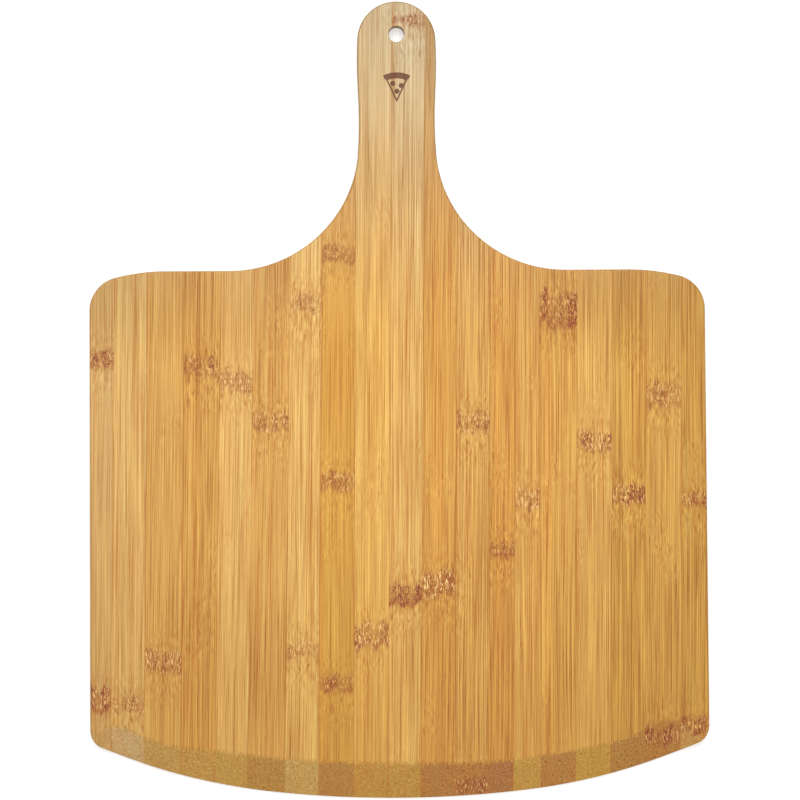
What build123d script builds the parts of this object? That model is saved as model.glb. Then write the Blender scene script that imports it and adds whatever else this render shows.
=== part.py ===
"""Bamboo pizza peel, built as the edge-glued staves that the one-ply board is made of.

Frame: millimetres, the peel lies flat with its working face up (+Z). X runs across the blade, Y from
the thin front edge towards the end of the handle. The whole board is shaped first, as it is in the
workshop after gluing, with Y measured from the front edge. It is then divided along the glue lines into
its staves, and they are moved so that the origin is under the middle of the peel's length.
"""

from build123d import *
import math
import os

# Overall size.
OVERALL_LENGTH = 526.0
BLADE_WIDTH = 406.4
BOARD_THICKNESS = 8.0

# Plan outline: a broad front arc that tightens towards its corners, straight sides, shoulders that start
# gently and then turn down, and a neck that sweeps into a slightly waisted handle.
FRONT_RADIUS = 738.0
FRONT_SIDE_RADIUS = 399.0
FRONT_SIDE_START = 6.5
FRONT_CORNER_RADIUS = 13.0
SHOULDER_TOP_RADIUS = 134.0
SHOULDER_TOP_TURN = 14.5
SHOULDER_RADIUS = 22.2
HANDLE_WIDTH = 52.4
HANDLE_END_RADIUS = 25.9
WAIST_WIDTH = 50.1
FLANK_RADIUS = 360.0
WAIST_RADIUS = 291.0
UPPER_NECK_RADIUS = 79.0
MIDDLE_NECK_RADIUS = 81.3
LOWER_NECK_RADIUS = 86.0
UPPER_NECK_START = 4.6
MIDDLE_NECK_START = 12.6
LOWER_NECK_START = 31.6

# Eased edges.
TOP_EASE = 1.6
BOTTOM_EASE = 1.3
NOSE_EASE = 0.6

# Front bevel: the least thickness left at the nose, its fall per millimetre where it is narrower than
# that needs, how straight it is from back to front, and how its back line wanders across the blade.
NOSE_THICKNESS = 2.0
BEVEL_SLOPE = 0.26
BEVEL_FLATNESS = 0.8
BEVEL_BACK_LINE = [
    (-208.0, 36.0),
    (-197.5, 42.5),
    (-188.0, 50.0),
    (-172.0, 45.0),
    (-150.0, 37.0),
    (-120.0, 33.5),
    (-76.0, 28.0),
    (0.0, 24.8),
    (60.0, 25.0),
    (93.0, 28.6),
    (140.0, 37.2),
    (177.0, 51.5),
    (187.0, 48.5),
    (197.0, 41.5),
    (208.0, 34.0),
]

# Hanging hole in the handle.
HOLE_RADIUS = 5.3
HOLE_FROM_END = 22.0
HOLE_EASE = 0.5

# Burnt-in mark on the handle: a plain slice of pizza, point down.
MARK_FROM_END = 67.5
MARK_DEPTH = 0.3
MARK_LINE = 1.0
SLICE_RADIUS = 17.0
SLICE_HALF_ANGLE = 25.0
CRUST_WIDTH = 3.0
CRUST_HALF_ANGLE = 27.0
TOPPING_RADIUS = 1.7
TOPPING_PLACES = [(-2.6, 12.6), (3.1, 11.2), (0.1, 7.4)]

# Staves, from left to right: their widths, measured at SEAM_DATUM_Y, and the lean of each glue line
# in degrees, because the blank was cut out a little off square to its staves.
SEAM_DATUM_Y = 200.0
STAVE_WIDTHS = [
    15.2, 21.8, 23.9, 23.4, 21.6, 24.1, 21.4, 22.3, 23.1, 21.8,
    22.0, 21.9, 16.8, 16.5, 24.5, 23.1, 22.4, 23.6, 17.0,
]
SEAM_LEANS = [0.6] * 3 + [1.0] * 3 + [0.7] + [0.55] + [0.7] * 5 + [0.2] + [0.7] * 4

MARGIN = 10.0


def sine(angle):
    """Sine of an angle in degrees."""
    return math.sin(math.radians(angle))


def cosine(angle):
    """Cosine of an angle in degrees."""
    return math.cos(math.radians(angle))


def front_side_centre():
    """Centre of the arc at the right side of the front edge."""
    step = FRONT_RADIUS - FRONT_SIDE_RADIUS
    return step * sine(FRONT_SIDE_START), FRONT_RADIUS - step * cosine(FRONT_SIDE_START)


def front_edge_y(x):
    """Y of the front edge at x."""
    centre_x, centre_y = front_side_centre()
    if abs(x) < FRONT_RADIUS * sine(FRONT_SIDE_START):
        return FRONT_RADIUS - math.sqrt(FRONT_RADIUS**2 - x**2)
    return centre_y - math.sqrt(FRONT_SIDE_RADIUS**2 - (abs(x) - centre_x) ** 2)


def handle_turns():
    """Angles in degrees of the handle's side: where its end arc starts, and midway down to the waist."""
    end_cosine = (FLANK_RADIUS - HANDLE_WIDTH / 2) / (FLANK_RADIUS - HANDLE_END_RADIUS)
    flank_cosine = 1 - (HANDLE_WIDTH - WAIST_WIDTH) / (2 * (FLANK_RADIUS + WAIST_RADIUS))
    return math.degrees(math.acos(end_cosine)), math.degrees(math.acos(flank_cosine))


def outline():
    """Plan shape of the peel, a chain of tangent arcs from the handle's end to the front edge."""
    end_turn, flank_turn = handle_turns()
    middle_turn = LOWER_NECK_START - MIDDLE_NECK_START
    shoulder_reach = SHOULDER_RADIUS + (SHOULDER_TOP_RADIUS - SHOULDER_RADIUS) * sine(SHOULDER_TOP_TURN)
    centre_x, centre_y = front_side_centre()
    corner_arm = FRONT_SIDE_RADIUS - FRONT_CORNER_RADIUS
    corner_turn = math.degrees(math.asin((BLADE_WIDTH / 2 - FRONT_CORNER_RADIUS - centre_x) / corner_arm))
    corner_y = centre_y - corner_arm * cosine(corner_turn)
    side_turn = FRONT_SIDE_START - corner_turn
    with BuildSketch() as plan:
        with BuildLine():
            end = JernArc((0, OVERALL_LENGTH), (1, 0), HANDLE_END_RADIUS, end_turn - 90)
            bulge = JernArc(end @ 1, end % 1, FLANK_RADIUS, -end_turn - flank_turn)
            waist = JernArc(bulge @ 1, bulge % 1, WAIST_RADIUS, flank_turn + UPPER_NECK_START)
            neck = JernArc(waist @ 1, waist % 1, UPPER_NECK_RADIUS, MIDDLE_NECK_START - UPPER_NECK_START)
            middle_neck = JernArc(neck @ 1, neck % 1, MIDDLE_NECK_RADIUS, middle_turn)
            lower_neck = JernArc(middle_neck @ 1, middle_neck % 1, LOWER_NECK_RADIUS, 90 - LOWER_NECK_START)
            shoulder_y = (lower_neck @ 1).Y
            top = Line(lower_neck @ 1, (BLADE_WIDTH / 2 - shoulder_reach, shoulder_y))
            shoulder_top = JernArc(top @ 1, (1, 0), SHOULDER_TOP_RADIUS, -SHOULDER_TOP_TURN)
            shoulder = JernArc(shoulder_top @ 1, shoulder_top % 1, SHOULDER_RADIUS, SHOULDER_TOP_TURN - 90)
            side = Line(shoulder @ 1, (BLADE_WIDTH / 2, corner_y))
            corner = JernArc(side @ 1, (0, -1), FRONT_CORNER_RADIUS, corner_turn - 90)
            front_side = JernArc(corner @ 1, corner % 1, FRONT_SIDE_RADIUS, side_turn)
            JernArc(front_side @ 1, front_side % 1, FRONT_RADIUS, -FRONT_SIDE_START)
            mirror(about=Plane.YZ)
        make_face()
    return plan.sketch


def bevel_station(x, back_y):
    """Points across the bevel at one x, from behind its back line to in front of the nose."""
    run = back_y - front_edge_y(x)
    drop = min(BOARD_THICKNESS - NOSE_THICKNESS, BEVEL_SLOPE * run)
    points = []
    for u in (-0.4, 0.0, 0.5, 1.0, 1.5):
        fall = drop * (BEVEL_FLATNESS * u + (1 - BEVEL_FLATNESS) * u * abs(u))
        points.append(Vector(x, back_y - u * run, BOARD_THICKNESS - fall))
    return points


def bevel_cutter():
    """Everything above the sanded surface of the front bevel."""
    grid = [bevel_station(x, back_y) for x, back_y in BEVEL_BACK_LINE]
    surface = Face.make_surface_from_array_of_points(grid, tol=0.01)
    return extrude(surface, amount=3 * BOARD_THICKNESS, dir=(0, 0, 1))


def hanging_hole():
    """Cutter for the hole, with both rims eased."""
    with BuildPart() as cutter:
        with BuildSketch(Plane.XZ):
            with BuildLine():
                low = JernArc((HOLE_RADIUS + HOLE_EASE, 0), (-1, 0), HOLE_EASE, -90)
                wall = Line(low @ 1, (HOLE_RADIUS, BOARD_THICKNESS - HOLE_EASE))
                high = JernArc(wall @ 1, (0, 1), HOLE_EASE, -90)
                Polyline(
                    high @ 1,
                    (HOLE_RADIUS + HOLE_EASE, BOARD_THICKNESS + MARGIN),
                    (0, BOARD_THICKNESS + MARGIN),
                    (0, -MARGIN),
                    (HOLE_RADIUS + HOLE_EASE, -MARGIN),
                    low @ 0,
                )
            make_face()
        revolve(axis=Axis.Z)
    return Pos(0, OVERALL_LENGTH - HOLE_FROM_END, 0) * cutter.part


def sector(radius, half_angle):
    """Wedge of a disc with its point at the origin, opening towards +Y."""
    left = Vector(0, radius).rotate(Axis.Z, half_angle)
    right = Vector(0, radius).rotate(Axis.Z, -half_angle)
    return make_face([Line((0, 0), left), ThreePointArc(left, (0, radius), right), Line(right, (0, 0))])


def slice_mark():
    """Engraved shape of the slice, as a thin cutter in the handle's top face."""
    inset = MARK_LINE / sine(SLICE_HALF_ANGLE)
    inside = Pos(0, inset) * sector(SLICE_RADIUS, SLICE_HALF_ANGLE) & Circle(SLICE_RADIUS - MARK_LINE)
    drawn = sector(SLICE_RADIUS, SLICE_HALF_ANGLE) - inside
    drawn += sector(SLICE_RADIUS + CRUST_WIDTH, CRUST_HALF_ANGLE) - Circle(SLICE_RADIUS)
    for x, y in TOPPING_PLACES:
        drawn += Pos(x, y) * Circle(TOPPING_RADIUS)
    point_y = OVERALL_LENGTH - MARK_FROM_END
    placed = Pos(0, point_y, BOARD_THICKNESS - MARK_DEPTH) * drawn
    return extrude(placed, amount=MARK_DEPTH + MARGIN, dir=(0, 0, 1))


def nose_crest(slab):
    """Sharp edges where the bevel meets the front wall: the low edges of the bevel."""
    bevel = slab.faces().filter_by(GeomType.BSPLINE).sort_by(SortBy.AREA)[-1]
    return [edge for edge in bevel.edges() if edge.center().Z < BOARD_THICKNESS / 2]


def board():
    """The whole shaped board, before it is divided into staves."""
    slab = extrude(outline(), amount=BOARD_THICKNESS)
    slab = fillet(slab.edges().group_by(Axis.Z)[-1], TOP_EASE)
    slab = fillet(slab.edges().group_by(Axis.Z)[0], BOTTOM_EASE)
    slab -= bevel_cutter()
    slab = fillet(nose_crest(slab), NOSE_EASE)
    slab -= hanging_hole()
    slab -= slice_mark()
    return slab


def seam(index):
    """Plane of the glue line on the right of stave `index`, facing right."""
    x = -BLADE_WIDTH / 2 + sum(STAVE_WIDTHS[: index + 1])
    facing = Vector(1, 0, 0).rotate(Axis.Z, -SEAM_LEANS[index])
    return Plane(origin=(x, SEAM_DATUM_Y, 0), x_dir=(0, 0, 1), z_dir=facing)


def staves(whole):
    """The board divided along its glue lines, from left to right."""
    pieces = []
    rest = whole
    for index in range(len(SEAM_LEANS)):
        pieces.append(rest.split(seam(index), keep=Keep.BOTTOM))
        rest = rest.split(seam(index), keep=Keep.TOP)
    return pieces + [rest]


os.makedirs("parts", exist_ok=True)
centring = Pos(0, -OVERALL_LENGTH / 2, 0)
for number, stave in enumerate(staves(board()), start=1):
    export_step(centring * stave, f"parts/stave_{number:02d}.step")
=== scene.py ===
import math

import bpy
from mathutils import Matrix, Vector


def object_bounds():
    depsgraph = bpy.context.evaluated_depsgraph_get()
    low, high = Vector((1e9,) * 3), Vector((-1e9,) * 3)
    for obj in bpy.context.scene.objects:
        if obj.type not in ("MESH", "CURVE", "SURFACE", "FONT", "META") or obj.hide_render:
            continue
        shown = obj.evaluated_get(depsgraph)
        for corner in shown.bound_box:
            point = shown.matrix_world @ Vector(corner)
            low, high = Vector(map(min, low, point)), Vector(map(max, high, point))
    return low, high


# A bamboo pizza peel lying on a white table, seen from straight above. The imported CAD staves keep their
# shape; this script gives each one its own bamboo, and adds the floor, the light and the camera.
# Lengths inside the materials are in millimetres, in the frame of the CAD model.

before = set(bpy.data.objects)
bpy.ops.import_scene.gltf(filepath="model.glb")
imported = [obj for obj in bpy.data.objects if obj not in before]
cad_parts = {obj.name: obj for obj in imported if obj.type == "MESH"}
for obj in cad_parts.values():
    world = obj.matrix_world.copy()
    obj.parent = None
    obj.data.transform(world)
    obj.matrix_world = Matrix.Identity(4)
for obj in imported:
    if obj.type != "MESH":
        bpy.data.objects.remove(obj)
cad_low, cad_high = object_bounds()
BOARD_TOP = 1000 * cad_high.z
FRONT_EDGE = 1000 * cad_low.y

# Box around the mark burnt into the handle, a little larger than the mark.
MARK_LOW = 1000 * cad_high.y - 70
MARK_HIGH = MARK_LOW + 26
MARK_HALF_WIDTH = 12

# How bright a white surface shows in this light, as a share of display white, and the sheen on top of it.
LIGHT_LEVEL = 1.05
SHEEN = 0.03


def srgb(red, green, blue):
    """Linear colour of display levels 0 to 255."""
    levels = [v / 255 for v in (red, green, blue)]
    return [v / 12.92 if v <= 0.04045 else ((v + 0.055) / 1.055) ** 2.4 for v in levels]


def albedo(red, green, blue):
    """Surface colour that shows as these display levels in this scene's light."""
    return [max(v - SHEEN, 0.01) / LIGHT_LEVEL for v in srgb(red, green, blue)]


# The staves from left to right: colour of the face, colour of the culm wall's inside where the bevel
# cuts into it, how streaky it is, and its knuckles, the marks that the culm's nodes leave. A knuckle is
# (distance from the board's front end, length along the stave, dark, light, lower edge), the last three
# being how strong its dark flecks, its pale flecks and its reddish lower edge are. A stave may also give
# its own colour for the painted glare, the pale veil of reflected light painted over the wood towards the
# end of the handle; the others take the common one.
STAVES = [
    dict(face=(214, 170, 104), core=(199, 158, 98), streaks=0.7,
         knuckles=[(66.5, 18, 1.3, 0.6, 0.9), (289.5, 13, 1.0, 0.4, 0.5)]),
    dict(face=(220, 175, 104), core=(199, 162, 107), streaks=0.85, knuckles=[(62.9, 11, 0.8, 0.6, 0.3)]),
    dict(face=(216, 165, 90), core=(191, 149, 83), streaks=0.9, knuckles=[(91.2, 16, 0.8, 0.8, 0.2)]),
    dict(face=(215, 160, 84), core=(192, 147, 78), streaks=1.1, knuckles=[(283.8, 14, 1.0, 0.6, 0.4)]),
    dict(face=(227, 179, 104), core=(192, 149, 78), streaks=0.8, knuckles=[(273.5, 14.5, 0.7, 0.9, 0.2)]),
    dict(face=(216, 162, 88), core=(182, 135, 72), streaks=1.0, knuckles=[(248.6, 13.5, 0.7, 0.8, 0.4)]),
    dict(face=(228, 179, 101), core=(196, 155, 87), streaks=1.0,
         knuckles=[(98.2, 11, 0.6, 0.5, 0.2), (325.5, 12, 0.6, 0.7, 0.1)]),
    dict(face=(220, 164, 79), core=(182, 131, 72), streaks=0.8,
         knuckles=[(76.1, 12, 0.9, 0.3, 0.6), (209.3, 14.5, 0.8, 0.7, 0.3), (358.8, 12.5, 0.8, 0.4, 0.5)]),
    dict(face=(229, 177, 94), core=(191, 143, 72), streaks=0.8, knuckles=[(107.5, 17, 0.9, 1.0, 0.9)]),
    dict(face=(226, 176, 99), core=(190, 144, 73), streaks=1.0,
         knuckles=[(133.6, 14.5, 1.4, 0.2, 1.0), (513.5, 9, 0.9, 0.4, 0.0)]),
    dict(face=(218, 160, 82), core=(179, 125, 70), streaks=1.0, painted_glare=(155, 148, 123),
         knuckles=[(140.4, 18, 0.9, 1.2, 0.1)]),
    dict(face=(218, 165, 89), core=(179, 124, 70), streaks=1.2,
         knuckles=[(7.4, 11, 0.9, 0.6, 0.2), (246.3, 15, 0.8, 0.8, 0.2)]),
    dict(face=(215, 157, 80), core=(175, 119, 71), streaks=1.1, knuckles=[(162.6, 10, 0.8, 0.4, 0.5)]),
    dict(face=(222, 168, 90), core=(193, 148, 75), streaks=0.9, knuckles=[(195.8, 14.5, 0.7, 1.0, 0.2)]),
    dict(face=(219, 163, 84), core=(181, 129, 72), streaks=1.2, knuckles=[(321.7, 24, 1.3, 0.5, 0.9)]),
    dict(face=(219, 168, 90), core=(192, 148, 73), streaks=1.0, knuckles=[(233.4, 14, 0.9, 0.8, 0.2)]),
    dict(face=(209, 157, 79), core=(179, 129, 71), streaks=1.1, knuckles=[(198.1, 13, 1.0, 0.9, 0.5)]),
    dict(face=(210, 159, 82), core=(179, 128, 71), streaks=1.1,
         knuckles=[(40.3, 13, 1.1, 0.5, 0.4), (264.4, 17, 0.8, 0.8, 0.3)]),
    dict(face=(204, 154, 78), core=(197, 150, 84), streaks=1.0,
         knuckles=[(46.8, 12, 1.0, 0.6, 0.2), (194.7, 10, 0.9, 0.7, 0.3)]),
]

DARK_RED = albedo(140, 68, 37)
RED_STREAK = albedo(172, 104, 62)
PALE_FLECK = albedo(252, 212, 146)
BROWN_STREAK = albedo(184, 122, 62)
BURNT = albedo(112, 70, 36)
# Painted shade on the rounded edges.
EDGE_SHADE = albedo(146, 114, 80)
WHITE = (1.0, 1.0, 1.0)
# The painted glare: a pale veil of reflected light painted over the wood towards the end of the handle,
# and how much of it is mixed in.
PAINTED_GLARE = (173, 175, 160)
PAINTED_GLARE_SHARE = 0.58

# What the wood's colour is multiplied by: painted shade towards the front end and at the outer shoulders,
# the darkest and lightest grain of plain wood and of wood under the painted glare, and where it is cooler
# or warmer.
FRONT_SHADE = (0.85, 0.81, 0.68)
SHOULDER_SHADE = (0.89, 0.87, 0.82)
DARK_GRAIN, GLARED_DARK_GRAIN = (0.66, 0.47, 0.33), (0.68, 0.59, 0.46)
LIGHT_GRAIN, GLARED_LIGHT_GRAIN = (1.26, 1.46, 1.80), (1.24, 1.32, 1.45)
COOL_TINT, WARM_TINT = (0.99, 1.01, 1.03), (1.02, 0.98, 0.93)

# Where the wood changes along the board, in mm from its front end: where each change starts and is full.
# All but the bevel are painted light: painted shade towards the front and at the shoulders, and the
# painted glare towards the handle.
BEVEL_ZONE = (58, 50)
FRONT_SHADE_ZONE = (230, 30)
SHOULDER_ZONE = (278, 328)
PAINTED_GLARE_ZONE = (290, 560)
# The same from the board's middle line to its sides.
SHOULDER_SIDES = (55, 115)

# Sizes of the noise in mm: across a stave, along it, and through its thickness.
BROAD = (3.6, 260, 6)
STREAK = (1.2, 150, 1.7)
LINE = (0.43, 90, 1.0)
VEIN = (1.35, 130, 2.2)
RED_LINE = (1.3, 190, 2.0)
FIBRE = (0.7, 9, 0.6)
HAIR = (0.5, 6.0, 0.9)
CUT_END = (0.6, 1.2, 0.8)
MOTTLE = (15, 75, 8)
WARMTH = (4.2, 300, 6)
FUZZY_PATCH = (30, 60, 8)
SWAY = (80, 240, 30)
PARTING = (2.8, 13, 4)
FRAYED = (0.9, 2.6, 40)
GLUE = (5, 60, 5)
FLECK = (0.68, 3.9, 1.4)
CURL = (2.4, 4.5, 4)

# Sizes of the noise across a knuckle, which is the same all along it.
RAGGED = (4.5, 1, 1)
CROWD = (3.4, 1, 1)
FEATHER = (0.8, 1, 1)

# How far the fuzz reaches from a knuckle, in mm, and how far below the knuckle's middle it is centred.
FUZZ_REACH = (38, 6)
FUZZ_BELOW = 4

GRAIN_DEPTH = 0.00006


class Number:
    """A value that a node works out, with the usual arithmetic."""

    def __init__(self, paint, socket):
        self.paint = paint
        self.socket = socket

    def __add__(self, other):
        return self.paint.math("ADD", self, other)

    def __sub__(self, other):
        return self.paint.math("SUBTRACT", self, other)

    def __rsub__(self, other):
        return self.paint.math("SUBTRACT", other, self)

    def __mul__(self, other):
        return self.paint.math("MULTIPLY", self, other)

    def __abs__(self):
        return self.paint.math("ABSOLUTE", self)

    __radd__ = __add__
    __rmul__ = __mul__


class Paint:
    """Builds the nodes of one material."""

    def __init__(self, name):
        self.material = bpy.data.materials.new(name)
        self.material.use_nodes = True
        self.nodes = self.material.node_tree.nodes
        self.links = self.material.node_tree.links
        self.shader = self.nodes["Principled BSDF"]

    def put(self, socket, value):
        """Gives a socket a constant, or the value that another node works out."""
        if isinstance(value, Number):
            self.links.new(value.socket, socket)
        else:
            socket.default_value = value

    def math(self, operation, *values, clamp=False):
        node = self.nodes.new("ShaderNodeMath")
        node.operation = operation
        node.use_clamp = clamp
        for socket, value in zip(node.inputs, values):
            self.put(socket, value)
        return Number(self, node.outputs[0])

    def clamped(self, value):
        return self.math("ADD", value, 0.0, clamp=True)

    def step(self, value, low, high):
        """0 below low and 1 above high, with a smooth change between; low may be the larger one."""
        node = self.nodes.new("ShaderNodeMapRange")
        node.interpolation_type = "SMOOTHSTEP"
        self.put(node.inputs["Value"], value)
        self.put(node.inputs["From Min"], low)
        self.put(node.inputs["From Max"], high)
        return Number(self, node.outputs[0])

    def vector(self, x, y, z):
        node = self.nodes.new("ShaderNodeCombineXYZ")
        for socket, value in zip(node.inputs, (x, y, z)):
            self.put(socket, value)
        return Number(self, node.outputs[0])

    def parts(self, vector):
        node = self.nodes.new("ShaderNodeSeparateXYZ")
        self.put(node.inputs[0], vector)
        return [Number(self, output) for output in node.outputs]

    def noise(self, point, size, seed, detail=1.0, twist=0.0):
        """Noise from 0 to 1, whose grains have this size in mm along the point's three directions."""
        place = self.nodes.new("ShaderNodeMapping")
        self.put(place.inputs["Vector"], point)
        place.inputs["Scale"].default_value = [1 / s for s in size]
        place.inputs["Location"].default_value = (seed * 3.71, seed * 1.37, seed * 7.93)
        node = self.nodes.new("ShaderNodeTexNoise")
        node.inputs["Scale"].default_value = 1.0
        node.inputs["Detail"].default_value = detail
        node.inputs["Distortion"].default_value = twist
        self.links.new(place.outputs[0], node.inputs["Vector"])
        return Number(self, node.outputs["Fac"])

    def mix(self, share, first, second, blend="MIX"):
        node = self.nodes.new("ShaderNodeMix")
        node.data_type = "RGBA"
        node.blend_type = blend
        self.put(node.inputs[0], share)
        self.put(node.inputs[6], first if isinstance(first, Number) else (*first, 1.0))
        self.put(node.inputs[7], second if isinstance(second, Number) else (*second, 1.0))
        return Number(self, node.outputs[2])

    def object_point(self):
        """The surface point and its normal in the CAD frame, the point in metres."""
        node = self.nodes.new("ShaderNodeTexCoord")
        return Number(self, node.outputs["Object"]), Number(self, node.outputs["Normal"])

    def bump(self, height, depth):
        node = self.nodes.new("ShaderNodeBump")
        node.inputs["Distance"].default_value = depth
        self.put(node.inputs["Height"], height)
        self.links.new(node.outputs[0], self.shader.inputs["Normal"])


def glue_line(left, right):
    """Where two neighbouring staves meet: x in mm where y is 0, and how far x moves per mm of y."""
    def key(p):
        return tuple(round(1e5 * c) for c in p)
    own = {key(v.co) for v in left.data.vertices}
    shared = [v.co for v in right.data.vertices if key(v.co) in own]
    front = min(shared, key=lambda p: p.y)
    back = max(shared, key=lambda p: p.y)
    lean = (back.x - front.x) / (back.y - front.y)
    return 1000 * (front.x - lean * front.y), lean


def knuckle(paint, colour, point, seed, about):
    """The band of dark and pale flecks where a node of the culm crosses a stave."""
    from_front, length, dark, light, edge = about
    across, along, depth = paint.parts(point)
    line = paint.vector(across, 0.0, 0.0)
    ragged = paint.noise(line, RAGGED, seed, detail=3.0) - 0.5
    offset = along - (FRONT_EDGE + from_front) + ragged * (1.2 * length)
    distance = abs(offset)
    band = paint.step(distance, 0.6 * length, 0.3 * length)

    # Flecks along the curled fibres: pale where the noise is high, dark beside them and where it is low.
    curl = (paint.noise(point, CURL, seed + 3) - 0.5) * 2.2
    bent = paint.vector(across + curl, along, depth)
    flecks = paint.noise(bent, FLECK, seed + 5)
    crowd = paint.step(paint.noise(line, CROWD, seed + 7), 0.32, 0.62) * 0.7 + 0.3
    pale = paint.step(flecks, 0.58, 0.64) * band
    beside = paint.step(abs(flecks - 0.48), 0.075, 0.035)
    apart = paint.step(flecks, 0.37, 0.33)
    deep = paint.math("MAXIMUM", beside, apart) * band * crowd

    # The reddish line at the knuckle's lower edge, and the brown hairs that feather out of it.
    lower = paint.step(abs(offset + 0.36 * length), 0.26 * length, 0.02) * edge
    hair = paint.noise(line, FEATHER, seed + 9, detail=1.0)
    reach = paint.step(hair, 0.45, 0.8) * (2.0 * length)
    feather = paint.step(distance - reach, 0.5 * length, -0.2 * length)

    colour = paint.mix(paint.clamped(feather * (0.4 * dark)), colour, BROWN_STREAK)
    colour = paint.mix(paint.clamped(lower * 0.7), colour, RED_STREAK)
    colour = paint.mix(paint.clamped(pale * (0.75 * light)), colour, PALE_FLECK)
    return paint.mix(paint.clamped(deep * (0.98 * dark)), colour, DARK_RED)


class Surface:
    """Where a point of a stave's surface is, in mm, and what both its colour and its grain depend on."""

    def __init__(self, paint, seed, left, right, knuckles):
        self.paint = paint
        self.seed = seed
        place, normal = paint.object_point()
        self.x, self.y, z = [part * 1000.0 for part in paint.parts(place)]
        self.facing = paint.parts(normal)[2]
        self.from_left = self.x - (self.y * left[1] + left[0])
        self.to_right = (self.y * right[1] + right[0]) - self.x
        self.depth = BOARD_TOP - z

        # The same point measured from the stave's middle line: as it is, swaying, and with parted fibres.
        across = (self.from_left - self.to_right) * 0.5
        self.flat = paint.vector(across, self.y, z)
        sway = (paint.noise(self.flat, SWAY, seed + 2) - 0.5) * 2.0
        self.swaying = paint.vector(across + sway, self.y, z)
        lean = (paint.noise(self.flat, PARTING, seed + 3) - 0.5) * 4.2
        self.parted = paint.vector(across + lean, self.y, z)

        # Zones near the knuckles where the fibres part and the grain is fuzzy.
        fuzz = 0.0
        for from_front, *_ in knuckles:
            away = abs(self.y - (FRONT_EDGE + from_front - FUZZ_BELOW))
            fuzz = paint.math("MAXIMUM", paint.step(away, *FUZZ_REACH), fuzz)
        patches = paint.step(paint.noise(self.flat, FUZZY_PATCH, seed + 1), 0.58, 0.72)
        self.fuzz = paint.math("MAXIMUM", patches * 0.6, fuzz)

        # The bevel, where the culm wall's inside shows, with a frayed back edge.
        frayed = self.depth + (paint.noise(self.flat, FRAYED, seed + 11) - 0.6) * 1.5
        in_bevel = self.zone(BEVEL_ZONE) * paint.step(frayed, 0.0, 0.5)
        self.in_bevel = in_bevel * paint.step(self.facing, 0.3, 0.7)

    def zone(self, ends):
        """0 up to the first of two places along the board, and 1 from the second."""
        return self.paint.step(self.y, FRONT_EDGE + ends[0], FRONT_EDGE + ends[1])


def grain(surface, streaks):
    """How light the grain is, from about -0.5 to 0.5, and its height for the bump."""
    paint = surface.paint
    seed = surface.seed
    point = surface.swaying
    fuzz = surface.fuzz
    broad = paint.noise(point, BROAD, seed + 4, detail=1.0) - 0.5
    streak = paint.noise(point, STREAK, seed + 5, detail=1.0) - 0.5
    line = paint.noise(point, LINE, seed + 12) - 0.5
    fibre = paint.noise(point, FIBRE, seed + 6, detail=1.0) - 0.5
    hairs = paint.noise(surface.parted, HAIR, seed + 10, detail=1.0) - 0.5
    vein = paint.step(abs(paint.noise(point, VEIN, seed + 15) - 0.5), 0.075, 0.0)
    mottle = paint.noise(surface.flat, MOTTLE, seed + 16) - 0.5
    long_lines = streak * 0.1 + line * 1.8 - vein * 0.27 + 0.07
    short_lines = fibre * 0.3 + hairs * fuzz * 1.8
    tone = mottle * 0.35 + broad * 0.15 + long_lines * (1.0 - fuzz * 0.5) + short_lines
    cut_ends = paint.noise(surface.parted, CUT_END, seed + 13) - 0.5
    tone = tone * (1.0 - surface.in_bevel * 0.8) + cut_ends * surface.in_bevel * 1.3
    return tone * streaks, streak + line * 0.5 + fibre * 0.7


def wood_colour(surface, tone, look):
    """Colour of the wood with its grain."""
    paint = surface.paint
    face = albedo(*look["face"])
    core = albedo(*look["core"])
    # Painted shade: the face is darker and more saturated towards the board's front end.
    ground = paint.mix(1.0, face, paint.mix(surface.zone(FRONT_SHADE_ZONE), WHITE, FRONT_SHADE), "MULTIPLY")
    # Painted shade on the outer staves at the shoulders.
    shoulder_shade = surface.zone(SHOULDER_ZONE) * paint.step(abs(surface.x), *SHOULDER_SIDES)
    ground = paint.mix(shoulder_shade, ground, paint.mix(1.0, ground, SHOULDER_SHADE, "MULTIPLY"))
    # Painted glare: towards the end of the handle the wood is mixed with a pale veil of reflected light.
    painted_glare = surface.zone(PAINTED_GLARE_ZONE)
    ground = paint.mix(painted_glare * PAINTED_GLARE_SHARE, ground, albedo(*look.get("painted_glare", PAINTED_GLARE)))
    under = paint.step(surface.facing, 0.2, -0.2)
    inside = paint.math("MAXIMUM", surface.in_bevel, under * 0.5)
    middle = paint.mix(inside, ground, core)
    dark_grain = paint.mix(painted_glare, DARK_GRAIN, GLARED_DARK_GRAIN)
    light_grain = paint.mix(painted_glare, LIGHT_GRAIN, GLARED_LIGHT_GRAIN)
    shade = paint.mix(paint.clamped(tone * 1.2 + 0.5), dark_grain, light_grain)
    colour = paint.mix(1.0, middle, shade, "MULTIPLY")
    warmth = paint.step(paint.noise(surface.swaying, WARMTH, surface.seed + 14), 0.35, 0.65)
    colour = paint.mix(1.0, colour, paint.mix(warmth, COOL_TINT, WARM_TINT), "MULTIPLY")
    red_line = paint.step(paint.noise(surface.swaying, RED_LINE, surface.seed + 7, detail=1.0), 0.66, 0.76)
    return paint.mix(red_line * 0.35, colour, BROWN_STREAK)


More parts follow.
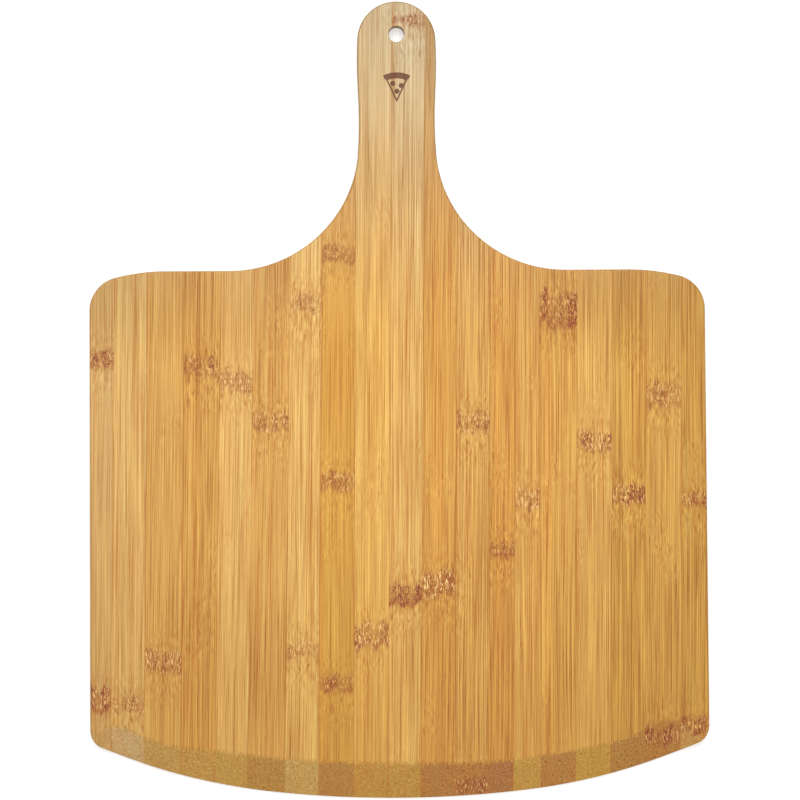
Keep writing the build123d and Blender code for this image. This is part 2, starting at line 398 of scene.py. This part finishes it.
def joined_and_burnt(surface, colour):
    """Adds the glue lines, painted shade on the eased edges and side walls, and the burnt-in mark to the
    colour.
    """
    paint = surface.paint
    side = paint.math("MINIMUM", surface.from_left, surface.to_right)
    glue = paint.step(paint.noise(surface.flat, GLUE, surface.seed + 8), 0.3, 0.6)
    colour = paint.mix(paint.step(side, 0.55, 0.15) * glue * 0.9, colour, BROWN_STREAK)
    # Painted shade on the eased edges and side walls, stronger under the painted glare towards the handle.
    eased = paint.step(abs(surface.facing), 0.97, 0.75)
    colour = paint.mix(eased * (surface.zone(PAINTED_GLARE_ZONE) * 0.5 + 0.22), colour, EDGE_SHADE)
    above = paint.step(surface.y, MARK_LOW, MARK_LOW + 0.5)
    below = paint.step(surface.y, MARK_HIGH + 0.5, MARK_HIGH)
    between = paint.step(abs(surface.x), MARK_HALF_WIDTH + 0.5, MARK_HALF_WIDTH)
    sunk = paint.step(surface.depth, 0.02, 0.15) * paint.step(surface.depth, 2, 1)
    return paint.mix(above * below * between * sunk * 0.9, colour, BURNT)


def bamboo(number, left, right, look):
    """Material of one stave; left and right are the lines of its two long sides."""
    paint = Paint(f"bamboo_{number:02d}")
    seed = 11.3 * number
    surface = Surface(paint, seed, left, right, look["knuckles"])
    tone, height = grain(surface, look["streaks"])
    colour = wood_colour(surface, tone, look)
    for index, about in enumerate(look["knuckles"]):
        colour = knuckle(paint, colour, surface.flat, seed + 20 + 3 * index, about)
    colour = joined_and_burnt(surface, colour)
    paint.put(paint.shader.inputs["Base Color"], colour)
    paint.put(paint.shader.inputs["Roughness"], 0.5 - tone * 0.25)
    paint.shader.inputs["Specular IOR Level"].default_value = 0.3
    paint.bump(height, GRAIN_DEPTH)
    return paint.material


names = sorted(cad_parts)
staves = [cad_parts[name] for name in names]
outer = [(1000 * cad_low.x, 0.0), (1000 * cad_high.x, 0.0)]
lines = [outer[0]] + [glue_line(a, b) for a, b in zip(staves, staves[1:])] + [outer[1]]
for index, stave in enumerate(staves):
    material = bamboo(index + 1, lines[index], lines[index + 1], STAVES[index])
    stave.data.materials.clear()
    stave.data.materials.append(material)
    for polygon in stave.data.polygons:
        polygon.material_index = 0


# The table's width and how far it lies below the peel, in metres, and the light that it and the room give.
TABLE_WIDTH = 16
TABLE_GAP = 0.0001
TABLE_GLOW = 0.4
ROOM_LIGHT = 0.405


def floor():
    """A white table that glows a little, as a light box does, so that it stays white near the peel."""
    paint = Paint("white_table")
    place, _ = paint.object_point()
    cloud = paint.noise(place, (0.3, 0.3, 0.3), 2.0, detail=2.0)
    paint.put(paint.shader.inputs["Base Color"], paint.mix(cloud, (0.74, 0.74, 0.74), (0.78, 0.78, 0.78)))
    paint.shader.inputs["Roughness"].default_value = 0.85
    paint.shader.inputs["Specular IOR Level"].default_value = 0.1
    paint.shader.inputs["Emission Color"].default_value = (1, 1, 1, 1)
    paint.shader.inputs["Emission Strength"].default_value = TABLE_GLOW
    bpy.ops.mesh.primitive_plane_add(size=TABLE_WIDTH, location=(0, 0, -TABLE_GAP))
    table = bpy.context.object
    table.name = "table"
    table.data.materials.append(paint.material)


def softbox(name, location, target, size, watts):
    """A rectangular lamp of this size in metres that faces the target."""
    light = bpy.data.lights.new(name, "AREA")
    light.shape = "RECTANGLE"
    light.size, light.size_y = size
    light.energy = watts
    lamp = bpy.data.objects.new(name, light)
    lamp.location = location
    lamp.rotation_euler = (Vector(target) - Vector(location)).to_track_quat("-Z", "Y").to_euler()
    bpy.context.scene.collection.objects.link(lamp)


floor()
softbox("key_light", location=(0.0, 1.5, 2.4), target=(0, 0.1, 0), size=(2.2, 1.6), watts=56)
softbox("fill_light", location=(0.0, -1.2, 2.6), target=(0, 0, 0), size=(3.0, 2.0), watts=27)
world = bpy.data.worlds.new("studio")
world.use_nodes = True
world.node_tree.nodes["Background"].inputs["Color"].default_value = (1, 1, 1, 1)
world.node_tree.nodes["Background"].inputs["Strength"].default_value = ROOM_LIGHT
bpy.context.scene.world = world
bpy.context.scene.view_settings.view_transform = "Standard"

# Camera: high above through a long lens, a little to the front and to the left of the peel's middle.
LENS = 122.53
CAMERA_PLACE = (-0.0449, -0.0717, 1.8)
CAMERA_TURN = [math.radians(angle) for angle in (2.25, -1.449, -0.365)]
camera = bpy.data.objects.new("camera", bpy.data.cameras.new("camera"))
camera.data.lens = LENS
camera.data.clip_start = 0.01
camera.location = CAMERA_PLACE
camera.rotation_euler = CAMERA_TURN
bpy.context.scene.collection.objects.link(camera)
bpy.context.scene.camera = camera
